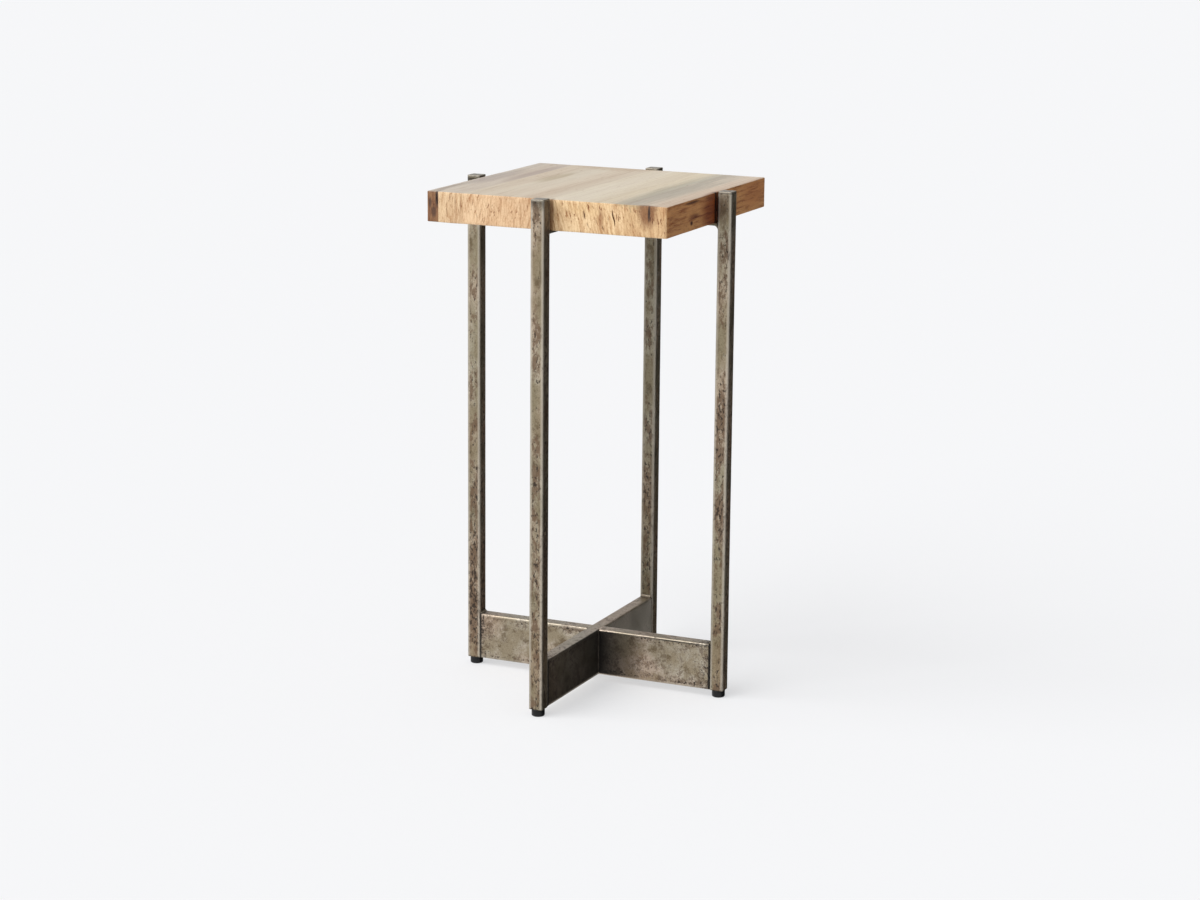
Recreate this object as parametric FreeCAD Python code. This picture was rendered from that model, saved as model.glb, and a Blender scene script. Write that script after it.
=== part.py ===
import FreeCAD, Part
import math
import os

from FreeCAD import Vector

# Rustic end table: a thick glued-up hickory top held between four square steel legs.
# Millimetres. The origin is on the floor under the middle, +Z is up,
# the end grain faces the front (-Y) and the boards run from front to rear.

# Overall sizes
table_height = 680.0
top_width = 336.55
top_depth = 336.55
top_thickness = 40.0
top_drop = 1.5
leg_gap = 3.175

# Wooden top
dark_strip_width = 17.0
striped_board_width = 36.0
middle_board_width = 120.0
pale_board_width = 105.0
top_corner_radius = 3.0
top_edge_chamfer = 1.2

# Square-tube legs
leg_side = 19.05
leg_wall = 1.65
leg_corner_radius = 2.2
cap_thickness = 2.4
cap_edge_chamfer = 0.6

# Rectangular-tube cross at the floor
base_bar_width = 19.05
base_bar_height = 63.5
base_bar_wall = 1.65
base_bar_edge_radius = 2.2
base_bar_end_chamfer = 0.6

# Flat-bar cross under the top
support_bar_width = 19.05
support_bar_thickness = 3.175
slot_width = 5.0
slot_length = 9.0

# Weld beads
base_weld_leg = 3.5
support_weld_leg = 5.5
weld_throat_share = 0.36
weld_seat = 0.02

# Hexagon washer-head wood screws
screw_reach = 112.0
screw_shank_radius = 2.0
screw_shank_length = 23.0
screw_tip_length = 3.0
screw_head_across_flats = 7.9
screw_head_height = 3.0
screw_flange_radius = 6.0
screw_flange_height = 1.0
pilot_clearance = 0.05
pilot_spare_depth = 1.5

# Levelling feet
foot_height = 10.0
pad_radius = 8.75
pad_sole_chamfer = 1.5
stud_radius = 4.0
stud_head_across_flats = 13.0
stud_head_height = 5.3
stud_in_leg = 28.0
stud_clearance = 0.05
plug_length = 14.0
plug_corner_chamfer = 1.0

# Cuts run past the solid by this much, and edges are told apart within these shares of a length
overrun = 1.0
angle_share = 1e-6
level_share = 1e-4

# Levels and distances that follow from the sizes above
leg_foot_z = foot_height
top_face_z = table_height - top_drop
top_under_z = top_face_z - top_thickness
support_under_z = top_under_z - support_bar_thickness
reach_x = top_width / 2 + leg_gap
reach_y = top_depth / 2 + leg_gap

UP = Vector(0, 0, 1)
ALONG_X = Vector(1, 0, 0)
ALONG_Y = Vector(0, 1, 0)
ORIGIN = Vector(0, 0, 0)

# Where each leg stands, and the turn about Z that brings a piece made at the right leg to it
leg_places = {
    "front": (Vector(0, -reach_y - leg_side / 2, 0), -90),
    "right": (Vector(reach_x + leg_side / 2, 0, 0), 0),
    "rear": (Vector(0, reach_y + leg_side / 2, 0), 90),
    "left": (Vector(-reach_x - leg_side / 2, 0, 0), 180),
}


def save(node, shape):
    """Write one piece, or one group of like pieces, to its own file."""
    shape.exportStep(os.path.join("parts", node + ".step"))


def moved(shape, place, turn=0):
    """A copy turned about Z and then carried to its place."""
    copy = shape.copy()
    copy.rotate(ORIGIN, UP, turn)
    copy.translate(place)
    return copy


def edges_along(shape, direction):
    """The straight edges that run along the direction."""
    found = []
    for edge in shape.Edges:
        run = edge.valueAt(edge.LastParameter) - edge.valueAt(edge.FirstParameter)
        if run.cross(direction).Length < run.Length * edge.Length * angle_share:
            found.append(edge)
    return found


def edges_at_height(shape, height):
    """The edges that lie wholly at one height."""
    box = shape.BoundBox
    slack = box.ZLength * level_share
    return [edge for edge in shape.Edges
            if abs(edge.BoundBox.ZMin - height) < slack and abs(edge.BoundBox.ZMax - height) < slack]


def upright_bar(width, depth, length, radius):
    """A bar that stands on the floor, centred on Z, with its four long edges rounded."""
    bar = Part.makeBox(width, depth, length, Vector(-width / 2, -depth / 2, 0))
    return bar.makeFillet(radius, edges_along(bar, UP))


def upright_tube(width, depth, length, wall, radius):
    """A rectangular tube that stands on the floor, open at both ends."""
    outside = upright_bar(width, depth, length, radius)
    bore_corner = Vector(wall - width / 2, wall - depth / 2, 0)
    bore = Part.makeBox(width - 2 * wall, depth - 2 * wall, length, bore_corner)
    return outside.cut(bore)


def laid_along_y(shape):
    """The upright piece laid down, its foot staying at the origin, to run towards +Y."""
    lying = shape.copy()
    lying.rotate(ORIGIN, ALONG_X, -90)
    return lying


def weld_bead(leg, width):
    """A hollow-faced fillet weld in the corner of the floor and a wall at x = 0, towards -X."""
    throat = leg * weld_throat_share
    corner = Vector(0, -width / 2, 0)
    toe = corner + Vector(-leg, 0, 0)
    head = corner + Vector(0, 0, leg)
    middle = corner + Vector(-throat, 0, throat)
    outline = Part.Wire([
        Part.LineSegment(corner, toe).toShape(),
        Part.Arc(toe, middle, head).toShape(),
        Part.LineSegment(head, corner).toShape(),
    ])
    return Part.Face(outline).extrude(Vector(0, width, 0))


os.makedirs("parts", exist_ok=True)

# Where the screws go up into the boards: one under each arm of the cross
screw_places = [
    Vector(screw_reach, 0, 0),
    Vector(0, screw_reach, 0),
    Vector(-screw_reach, 0, 0),
    Vector(0, -screw_reach, 0),
]

# Wooden top: one block with eased edges and pilot holes, sawn into its glued boards
top_corner = Vector(-top_width / 2, -top_depth / 2, top_under_z)
top = Part.makeBox(top_width, top_depth, top_thickness, top_corner)
top = top.makeFillet(top_corner_radius, edges_along(top, UP))
eased_edges = edges_at_height(top, top_face_z) + edges_at_height(top, top_under_z)
top = top.makeChamfer(top_edge_chamfer, eased_edges)
screw_tip_z = support_under_z + screw_shank_length
pilot_radius = screw_shank_radius + pilot_clearance
pilot_depth = screw_tip_z - top_under_z + pilot_spare_depth
for place in screw_places:
    start = place + Vector(0, 0, top_under_z - overrun)
    top = top.cut(Part.makeCylinder(pilot_radius, pilot_depth + overrun, start))

sawn_width = dark_strip_width + striped_board_width + middle_board_width + pale_board_width
last_board_width = top_width - sawn_width
boards = {
    "board_dark_strip": dark_strip_width,
    "board_striped": striped_board_width,
    "board_middle": middle_board_width,
    "board_pale": pale_board_width,
    "board_right": last_board_width,
}
board_left = -top_width / 2
for node, board_width in boards.items():
    board_corner = Vector(board_left, -top_depth / 2, top_under_z)
    cell = Part.makeBox(board_width, top_depth, top_thickness, board_corner)
    save(node, top.common(cell))
    board_left += board_width

# Legs: square tube, closed at the top by a welded cap and at the foot by a threaded plug
tube_length = table_height - cap_thickness - leg_foot_z
leg_tube = upright_tube(leg_side, leg_side, tube_length, leg_wall, leg_corner_radius)
leg_cap = upright_bar(leg_side, leg_side, cap_thickness, leg_corner_radius)
leg_cap = leg_cap.makeChamfer(cap_edge_chamfer, edges_at_height(leg_cap, cap_thickness))
leg_bore = leg_side - 2 * leg_wall
leg_plug = Part.makeBox(leg_bore, leg_bore, plug_length, Vector(-leg_bore / 2, -leg_bore / 2, 0))
leg_plug = leg_plug.makeChamfer(plug_corner_chamfer, edges_along(leg_plug, UP))
leg_plug = leg_plug.cut(Part.makeCylinder(stud_radius + stud_clearance, plug_length))


def hexagon(across_flats, height):
    """A six-sided prism that stands on the floor, with two flats facing left and right."""
    corner_reach = across_flats / 2 / math.cos(math.pi / 6)
    turns = [math.pi / 3 * corner for corner in range(6)]
    corners = [Vector(corner_reach * math.sin(turn), corner_reach * math.cos(turn), 0) for turn in turns]
    return Part.Face(Part.makePolygon(corners + corners[:1])).extrude(Vector(0, 0, height))


# Levelling feet: a nylon pad moulded round the hexagon head of a steel stud, which screws up into the plug
head_place = Vector(0, 0, foot_height - stud_head_height)
stud_head = moved(hexagon(stud_head_across_flats, stud_head_height), head_place)
pad = Part.makeCylinder(pad_radius, foot_height)
pad = pad.makeChamfer(pad_sole_chamfer, edges_at_height(pad, 0))
pad = pad.cut(stud_head)
stud = Part.makeCylinder(stud_radius, stud_in_leg, Vector(0, 0, foot_height))
stud = stud.fuse(stud_head)

for side, (place, turn) in leg_places.items():
    foot_of_leg = place + Vector(0, 0, leg_foot_z)
    save("leg_" + side, moved(leg_tube, foot_of_leg))
    save("leg_cap_" + side, moved(leg_cap, foot_of_leg + Vector(0, 0, tube_length)))
    save("leg_plug_" + side, moved(leg_plug, foot_of_leg))
    save("foot_pad_" + side, moved(pad, place))
    save("foot_stud_" + side, moved(stud, place))


def base_bar(length):
    """A rectangular tube on edge that runs from the origin towards +Y, its ends slightly chamfered."""
    tube = upright_tube(base_bar_width, base_bar_height, length, base_bar_wall, base_bar_edge_radius)
    rims = [edge for edge in edges_at_height(tube, length) if is_outer(edge)]
    return laid_along_y(tube.makeChamfer(base_bar_end_chamfer, rims))


def is_outer(edge):
    """Whether an edge of an upright base bar lies on its outside and not on its bore."""
    half_bore_x = base_bar_width / 2 - base_bar_wall / 2
    half_bore_y = base_bar_height / 2 - base_bar_wall / 2
    middle = edge.CenterOfMass
    return abs(middle.x) > half_bore_x or abs(middle.y) > half_bore_y


# Cross at the floor: one bar from front to rear, and two that butt against its sides
base_middle_z = leg_foot_z + base_bar_height / 2
front_half = moved(base_bar(reach_y), Vector(0, 0, base_middle_z), 180)
rear_half = moved(base_bar(reach_y), Vector(0, 0, base_middle_z))
save("base_bar_long", front_half.fuse(rear_half).removeSplitter())
short_length = reach_x - base_bar_width / 2
right_bar = moved(base_bar(short_length), ORIGIN, -90)
right_bar.translate(Vector(base_bar_width / 2, 0, base_middle_z))
save("base_bar_right", right_bar)
save("base_bar_left", moved(right_bar, ORIGIN, 180))

# Weld beads between the bars' upper faces and the legs
flat_width = base_bar_width - 2 * base_bar_edge_radius
base_bead = weld_bead(base_weld_leg, flat_width)
base_top_z = leg_foot_z + base_bar_height
base_beads = []
for place, turn in leg_places.values():
    inner_face = place * (1 - leg_side / 2 / place.Length)
    base_beads.append(moved(base_bead, inner_face + Vector(0, 0, base_top_z), turn))
save("base_bar_welds", Part.makeCompound(base_beads))

# Welds ground flush over the long bar's rounded edges, where the short bars meet it
edge_x = base_bar_width / 2 - base_bar_edge_radius
upper_corner = Part.makeBox(base_bar_edge_radius, flat_width, base_bar_edge_radius,
                            Vector(edge_x, -flat_width / 2, base_top_z - base_bar_edge_radius))
rounding_start = Vector(edge_x, -flat_width / 2 - overrun, base_top_z - base_bar_edge_radius)
rounded_edge = Part.makeCylinder(base_bar_edge_radius + weld_seat, flat_width + 2 * overrun,
                                 rounding_start, ALONG_Y)
upper_right = upper_corner.cut(rounded_edge)
lower_right = upper_right.copy()
lower_right.rotate(Vector(0, 0, base_middle_z), ALONG_X, 180)
right_pair = [upper_right, lower_right]
left_pair = [moved(weld, ORIGIN, 180) for weld in right_pair]
save("cross_welds", Part.makeCompound(right_pair + left_pair))


def support_bar(length):
    """A flat bar under the top that runs from the origin towards +Y."""
    corner = Vector(-support_bar_width / 2, 0, support_under_z)
    return Part.makeBox(support_bar_width, length, support_bar_thickness, corner)


def slot(place):
    """A slot along X, which lets the wood swell and shrink across its grain."""
    straight = slot_length - slot_width
    depth = support_bar_thickness + 2 * overrun
    low = place + Vector(0, 0, support_under_z - overrun)
    cutter = Part.makeBox(straight, slot_width, depth, low - Vector(straight / 2, slot_width / 2, 0))
    for end in (-straight / 2, straight / 2):
        cutter = cutter.fuse(Part.makeCylinder(slot_width / 2, depth, low + Vector(end, 0, 0)))
    return cutter


# Cross under the top, laid out as the one at the floor
slots = Part.makeCompound([slot(place) for place in screw_places])
long_support = moved(support_bar(2 * reach_y), Vector(0, -reach_y, 0))
save("support_bar_long", long_support.cut(slots))
half_support = support_bar_width / 2
right_support = moved(support_bar(reach_x - half_support), Vector(half_support, 0, 0), -90)
save("support_bar_right", right_support.cut(slots))
save("support_bar_left", moved(right_support, ORIGIN, 180).cut(slots))

# Larger beads under those bars, hanging in the corner with the legs
support_bead = weld_bead(support_weld_leg, leg_side - 2 * leg_corner_radius)
support_bead.rotate(ORIGIN, ALONG_X, 180)
support_beads = []
for place, turn in leg_places.values():
    inner_face = place * (1 - leg_side / 2 / place.Length)
    support_beads.append(moved(support_bead, inner_face + Vector(0, 0, support_under_z), turn))
save("support_bar_welds", Part.makeCompound(support_beads))

# Hexagon washer-head wood screws, drawn head down from the bar's under face at z = 0
shoulder_z = screw_shank_length - screw_tip_length
outline = Part.makePolygon([
    Vector(0, 0, -screw_flange_height),
    Vector(screw_flange_radius, 0, -screw_flange_height),
    Vector(screw_flange_radius, 0, 0),
    Vector(screw_shank_radius, 0, 0),
    Vector(screw_shank_radius, 0, shoulder_z),
    Vector(0, 0, screw_shank_length),
    Vector(0, 0, -screw_flange_height),
])
screw = Part.Face(outline).revolve(ORIGIN, UP, 360)
head_top = Vector(0, 0, -screw_flange_height - screw_head_height)
screw = screw.fuse(moved(hexagon(screw_head_across_flats, screw_head_height), head_top))
at_bar = Vector(0, 0, support_under_z)
save("top_screws", Part.makeCompound([moved(screw, place + at_bar) for place in screw_places]))
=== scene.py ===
import math

import bmesh
import bpy
from mathutils import Matrix, Vector, noise


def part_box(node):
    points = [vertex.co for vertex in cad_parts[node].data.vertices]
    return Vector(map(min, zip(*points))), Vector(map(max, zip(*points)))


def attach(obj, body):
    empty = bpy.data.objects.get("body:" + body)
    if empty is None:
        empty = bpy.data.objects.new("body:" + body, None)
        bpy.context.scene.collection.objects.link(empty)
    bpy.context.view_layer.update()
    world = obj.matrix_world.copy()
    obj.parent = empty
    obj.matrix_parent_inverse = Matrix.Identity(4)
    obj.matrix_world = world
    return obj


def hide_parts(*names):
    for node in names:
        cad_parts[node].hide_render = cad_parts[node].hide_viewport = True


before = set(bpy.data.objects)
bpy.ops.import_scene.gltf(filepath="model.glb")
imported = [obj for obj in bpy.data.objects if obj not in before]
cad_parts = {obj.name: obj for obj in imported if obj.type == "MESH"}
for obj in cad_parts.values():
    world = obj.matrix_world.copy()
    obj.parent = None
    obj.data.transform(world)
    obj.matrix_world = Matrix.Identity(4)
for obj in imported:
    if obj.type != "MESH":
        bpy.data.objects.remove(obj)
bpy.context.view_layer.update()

# The wooden top: five hickory boards, edge-glued side by side, the grain running from front to
# rear, sanded flush, their outer arrises eased by hand, and finished with a thin satin oil.
# Their sawn ends show at the front: upright growth rings, drying checks and dark mineral marks.
mm = 0.001
arris_radius = 1.2 * mm
arris_wave = 0.35 * mm
flat_wave_share = 0.4
top_corner_radius = 3.0 * mm
board_cell = 9.0 * mm
touching = 0.001 * mm
cut_snap = 0.0001 * mm
true_corner = math.radians(38)


def tone(red, green, blue):
    """A colour as the eye sees it, 0 to 255 each, in the shader's own linear light."""
    seen = [value / 255 for value in (red, green, blue)]
    linear = [value / 12.92 if value < 0.04045 else ((value + 0.055) / 1.055) ** 2.4 for value in seen]
    return linear + [1.0]


def held(value):
    """A share, held between nothing and one."""
    return min(1.0, max(0.0, value))


def box_block(low, high):
    """A plain block between two corners, to be cut and rounded."""
    bm = bmesh.new()
    place = Matrix.Translation((low + high) / 2) @ Matrix.Diagonal((*(high - low), 1))
    bmesh.ops.create_cube(bm, size=1.0, matrix=place)
    return bm


def runs_along(edge, axis):
    """Whether an edge leaves one level of an axis for another."""
    return abs(edge.verts[0].co[axis] - edge.verts[1].co[axis]) > touching


def on_level(edge, axis, level):
    """Whether an edge lies at one level of an axis."""
    return all(abs(vert.co[axis] - level) < touching for vert in edge.verts)


def rounded(bm, edges, radius, segments):
    """Rounds a set of edges of the piece."""
    bmesh.ops.bevel(bm, geom=edges, affect="EDGES", offset=radius, segments=segments, profile=0.5,
                    material=-1)


def cut(bm, faces, on, normal):
    """Cuts some of the piece's faces by a plane."""
    parts = dict.fromkeys(item for face in faces for item in (face, *face.edges, *face.verts))
    bmesh.ops.bisect_plane(bm, geom=list(parts), dist=cut_snap, plane_co=on, plane_no=normal)


def pushed_out(bm, faces):
    """Extrudes some faces, which move away from the old rim with new walls behind them."""
    parts = dict.fromkeys(item for face in faces for item in (face, *face.edges))
    return bmesh.ops.extrude_face_region(bm, geom=list(parts))["geom"]


def cut_across(bm, axis, places):
    """Cuts the whole surface by planes at right angles to an axis."""
    normal = Vector([float(other == axis) for other in range(3)])
    for place in places:
        cut(bm, bm.faces, normal * place, normal)


def spaced(low, high, step):
    """Even places between two ends, about a step apart, without the ends."""
    count = max(1, round((high - low) / step))
    return [low + (high - low) * turn / count for turn in range(1, count)]


def as_object(name, bm, material):
    """The mesh as an object of the scene, in one material."""
    mesh = bpy.data.meshes.new(name)
    bm.to_mesh(mesh)
    bm.free()
    mesh.materials.append(material)
    made = bpy.data.objects.new(name, mesh)
    bpy.context.scene.collection.objects.link(made)
    return made


def finished(name, bm, material, body, node):
    """Hands a finished mesh over: faces out, smooth but for true corners, on its body and in its slot."""
    bmesh.ops.recalc_face_normals(bm, faces=bm.faces[:])
    piece = as_object(name, bm, material)
    piece.data.shade_smooth()
    piece.data.set_sharp_from_angle(angle=true_corner)
    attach(piece, body)
    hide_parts(node)


def new_material(name):
    """A material, its node tree and its one shader."""
    material = bpy.data.materials.new(name)
    material.use_nodes = True
    return material, material.node_tree, material.node_tree.nodes["Principled BSDF"]


def fill(tree, node, inputs):
    """Fills a shader node's inputs with values or with other nodes' outputs."""
    for name, value in inputs.items():
        if isinstance(value, bpy.types.NodeSocket):
            tree.links.new(value, node.inputs[name])
        else:
            node.inputs[name].default_value = value


def lay(tree, kind, inputs=None, **settings):
    """One shader node, with its settings made and its inputs filled."""
    made = tree.nodes.new("ShaderNode" + kind)
    for name, value in settings.items():
        setattr(made, name, value)
    fill(tree, made, inputs or {})
    return made


def relief(tree, strength, depth, height):
    """A height felt in the light as dents and grooves."""
    return lay(tree, "Bump", {"Strength": strength, "Distance": depth, "Height": height}).outputs[0]


def reckon(tree, operation, *values):
    """The result of one sum on values or outputs."""
    return lay(tree, "Math", dict(enumerate(values)), operation=operation).outputs[0]


def reckon_vector(tree, operation, *values):
    """The result of one sum on vectors or their outputs."""
    return lay(tree, "VectorMath", dict(enumerate(values)), operation=operation).outputs[0]


def between(tree, value, start, end, low=0.0, high=1.0):
    """A value carried smoothly from one range to another."""
    sockets = {"Value": value, "From Min": start, "From Max": end, "To Min": low, "To Max": high}
    return lay(tree, "MapRange", sockets, interpolation_type="SMOOTHSTEP").outputs[0]


def mixed(tree, share, first, second, way="MIX"):
    """Two colours mixed by a share."""
    return lay(tree, "Mix", {0: share, 6: first, 7: second}, data_type="RGBA", blend_type=way).outputs[2]


def clouds(tree, place, stretch, detail=4.0, coarse=0.55):
    """Soft noise over the piece, so many patches to the metre along X, Y and Z."""
    spread = reckon_vector(tree, "MULTIPLY", place, stretch)
    return lay(tree, "TexNoise", {"Vector": spread, "Scale": 1.0, "Detail": detail, "Roughness": coarse})


def shared_group(name, inputs, outputs):
    """An effect that several materials use, with its named ways in and out."""
    tree = bpy.data.node_groups.new(name, "ShaderNodeTree")
    for label, kind, value in inputs:
        socket = tree.interface.new_socket(label, in_out="INPUT", socket_type="NodeSocket" + kind)
        socket.default_value = value
    for label, kind in outputs:
        tree.interface.new_socket(label, in_out="OUTPUT", socket_type="NodeSocket" + kind)
    return tree, tree.nodes.new("NodeGroupInput").outputs, tree.nodes.new("NodeGroupOutput").inputs


# Growth rings round a far-off heart, slow streaks, fibres and pores drawn out along the grain,
# and on the sawn ends the upright bands and ticks that the blade and the drying left
centred = (-0.5, -0.5, -0.5)
figure, given, out = shared_group("hickory figure", [
    ("Place", "Vector", (0, 0, 0)), ("Facing", "Vector", (0, 0, 1)), ("Heart", "Vector", (0, 0, 0)),
    ("Ring Width", "Float", 0.003), ("Lean", "Float", 0.0), ("End Marks", "Float", 0.5),
    ("Top Tone", "Color", (1, 1, 1, 1)), ("End Tone", "Color", (1, 1, 1, 1)),
    ("Side Tone", "Color", (1, 1, 1, 1)), ("Cast", "Color", (1, 1, 1, 1)),
], [("Color", "Color"), ("Roughness", "Float"), ("Height", "Float")])
place = given["Place"]
axes = lay(figure, "SeparateXYZ", {0: given["Facing"]}).outputs
end_share = between(figure, reckon(figure, "ABSOLUTE", axes[1]), 0.45, 0.8)
flat_share = between(figure, reckon(figure, "ABSOLUTE", axes[2]), 0.45, 0.8)
slow = clouds(figure, place, (26, 2.6, 26), 3.0).outputs["Color"]
fast = clouds(figure, place, (170, 14, 170), 2.0).outputs["Color"]
slow = reckon_vector(figure, "ADD", slow, centred)
fast = reckon_vector(figure, "ADD", fast, centred)
bent = reckon_vector(figure, "MULTIPLY_ADD", slow, (0.022, 0.0, 0.022), place)
bent = reckon_vector(figure, "MULTIPLY_ADD", fast, (0.0016, 0.0, 0.0016), bent)
from_heart = reckon_vector(figure, "SUBTRACT", bent, given["Heart"])
from_heart = reckon_vector(figure, "MULTIPLY", from_heart, (1, 0, 1))
radius = lay(figure, "VectorMath", {0: from_heart}, operation="LENGTH").outputs["Value"]
ring = reckon(figure, "FRACT", reckon(figure, "DIVIDE", radius, given["Ring Width"]))
late_wood = reckon(figure, "MULTIPLY", between(figure, ring, 0.25, 0.92), between(figure, ring, 1.0, 0.95))
early_wood = between(figure, ring, 0.45, 0.1)
streaks = between(figure, clouds(figure, place, (34, 1.3, 34), 4.0, 0.6).outputs[0], 0.36, 0.68)
cast_share = between(figure, clouds(figure, place, (17, 1.1, 23), 3.0).outputs[0], 0.4, 0.66)
fibres = clouds(figure, place, (1300, 22, 1300), 3.0).outputs[0]
pores = between(figure, clouds(figure, place, (1500, 75, 1500), 1.0).outputs[0], 0.62, 0.72)
leaning = lay(figure, "SeparateXYZ", {0: place}).outputs
leaned_x = reckon(figure, "MULTIPLY_ADD", leaning[2], given["Lean"], leaning[0])
leaned = lay(figure, "CombineXYZ", {0: leaned_x, 1: leaning[1], 2: leaning[2]}).outputs[0]
bands = between(figure, clouds(figure, leaned, (170, 0, 24), 5.0, 0.68).outputs[0], 0.42, 0.68)
clumps = between(figure, clouds(figure, leaned, (46, 0, 40), 2.0).outputs[0], 0.42, 0.6)
ticks = between(figure, clouds(figure, leaned, (360, 0, 78), 4.0, 0.66).outputs[0], 0.55, 0.64)
ticks = reckon(figure, "MULTIPLY", ticks, reckon(figure, "MULTIPLY_ADD", clumps, 0.75, 0.25))
freckles = between(figure, clouds(figure, leaned, (620, 0, 330), 3.0, 0.62).outputs[0], 0.54, 0.68)
long_marks = between(figure, clouds(figure, place, (420, 9, 300), 4.0, 0.66).outputs[0], 0.54, 0.7)
side_share = reckon(figure, "SUBTRACT", 1.0, reckon(figure, "MAXIMUM", end_share, flat_share))
side_marks = between(figure, clouds(figure, place, (240, 24, 240), 5.0, 0.7).outputs[0], 0.46, 0.66)
side_specks = between(figure, clouds(figure, place, (420, 130, 420), 3.0, 0.6).outputs[0], 0.6, 0.7)
side_marks = reckon(figure, "MULTIPLY_ADD", side_specks, 0.45, reckon(figure, "MULTIPLY", side_marks, 0.62))
ring_depth = reckon(figure, "MULTIPLY_ADD", end_share, 0.02, 0.16)
shade = reckon(figure, "MULTIPLY", late_wood, ring_depth)
shade = reckon(figure, "MULTIPLY_ADD", streaks, 0.2, shade)
shade = reckon(figure, "MULTIPLY_ADD", long_marks, 0.28, shade)
shade = reckon(figure, "MULTIPLY_ADD", reckon(figure, "SUBTRACT", fibres, 0.5), 0.5, shade)
shade = reckon(figure, "MULTIPLY_ADD", reckon(figure, "MULTIPLY", pores, early_wood), 0.35, shade)
shade = reckon(figure, "MULTIPLY_ADD", side_marks, side_share, shade)
flecks = between(figure, clouds(figure, place, (240, 38, 240), 3.0, 0.6).outputs[0], 0.67, 0.75)
shade = reckon(figure, "MULTIPLY_ADD", reckon(figure, "MULTIPLY", flecks, flat_share), 0.7, shade)
end_marks = reckon(figure, "MULTIPLY", bands, 0.5)
end_marks = reckon(figure, "MULTIPLY_ADD", ticks, 1.0, end_marks)
end_marks = reckon(figure, "MULTIPLY_ADD", freckles, 0.36, end_marks)
end_marks = reckon(figure, "MULTIPLY", end_marks, given["End Marks"])
shade = lay(figure, "Math", {0: end_marks, 1: end_share, 2: shade}, operation="MULTIPLY_ADD", use_clamp=True)
shade = shade.outputs[0]
colour = mixed(figure, flat_share, given["Side Tone"], given["Top Tone"])
colour = mixed(figure, end_share, colour, given["End Tone"])
colour = mixed(figure, reckon(figure, "MULTIPLY", cast_share, 0.65), colour, given["Cast"], "MULTIPLY")
colour = mixed(figure, shade, colour, tone(176, 138, 98), "MULTIPLY")
deep_ticks = reckon(figure, "MULTIPLY", between(figure, ticks, 0.4, 1.0), end_share)
deep_ticks = reckon(figure, "MULTIPLY", deep_ticks, reckon(figure, "MULTIPLY", given["End Marks"], 0.7))
colour = mixed(figure, deep_ticks, colour, tone(146, 108, 76), "MULTIPLY")
figure.links.new(colour, out["Color"])
figure.links.new(reckon(figure, "MULTIPLY_ADD", shade, 0.16, 0.4), out["Roughness"])
figure.links.new(reckon(figure, "MULTIPLY", shade, -1.0), out["Height"])

# A ragged patch round one place, faded at its rim: a stain, knot or mineral mark, and on some boards painted
# shade and a painted shadow beside the legs
patch, given, out = shared_group("stain and shade patch", [
    ("Place", "Vector", (0, 0, 0)), ("Middle", "Vector", (0, 0, 0)), ("Reach", "Vector", (1, 1, 1)),
    ("Ragged", "Float", 0.004),
], [("Share", "Float")])
ragged = clouds(patch, given["Place"], (150, 6, 150), 4.0, 0.6).outputs["Color"]
ragged = reckon_vector(patch, "ADD", ragged, centred)
ragged = lay(patch, "VectorMath", {0: ragged, "Scale": given["Ragged"]}, operation="SCALE").outputs[0]
off = reckon_vector(patch, "SUBTRACT", given["Place"], given["Middle"])
off = reckon_vector(patch, "ADD", off, ragged)
off = reckon_vector(patch, "DIVIDE", off, given["Reach"])
distance = lay(patch, "VectorMath", {0: off}, operation="LENGTH").outputs["Value"]
patch.links.new(between(patch, distance, 1.0, 0.35), out["Share"])


def scaled(numbers):
    """A place or a reach given in millimetres."""
    return [number * mm for number in numbers]


def hickory(name, tones, cast, heart, ring_width, lean, end_marks, blotches):
    """The oiled wood of one board: its own rings and tones, and the marks that only it has."""
    material, tree, shader = new_material(name)
    coords = lay(tree, "TexCoord").outputs
    top_tone, end_tone, side_tone = (tone(*value) for value in tones)
    wood = lay(tree, "Group", {
        "Place": coords["Object"], "Facing": coords["Normal"], "Heart": scaled(heart),
        "Ring Width": ring_width * mm, "Lean": lean, "End Marks": end_marks, "Top Tone": top_tone,
        "End Tone": end_tone, "Side Tone": side_tone, "Cast": tone(*cast),
    }, node_tree=figure).outputs
    colour = wood["Color"]
    for blotch_tone, strength, middle, reach, ragged in blotches:
        mark = lay(tree, "Group", {
            "Place": coords["Object"], "Middle": scaled(middle), "Reach": scaled(reach),
            "Ragged": ragged * mm,
        }, node_tree=patch).outputs[0]
        share = reckon(tree, "MULTIPLY", mark, strength)
        colour = mixed(tree, share, colour, tone(*blotch_tone), "MULTIPLY")
    # Painted shade inside the checks: darker towards their floors
    split = lay(tree, "Attribute", attribute_name="split").outputs["Fac"]
    colour = mixed(tree, split, colour, tone(58, 38, 24))
    fill(tree, shader, {"Base Color": colour, "Roughness": wood["Roughness"],
                        "Normal": relief(tree, 0.5, 0.4 * mm, wood["Height"])})
    return material


check_stations = (0.0, 0.15, 0.3, 0.5, 0.7, 0.85, 1.0)
check_margin = 1.5 * mm
check_wander_share = 0.7
check_floor_share = 0.25
check_shade_depth = 0.4 * mm
check_merge = 0.02 * mm


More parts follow.
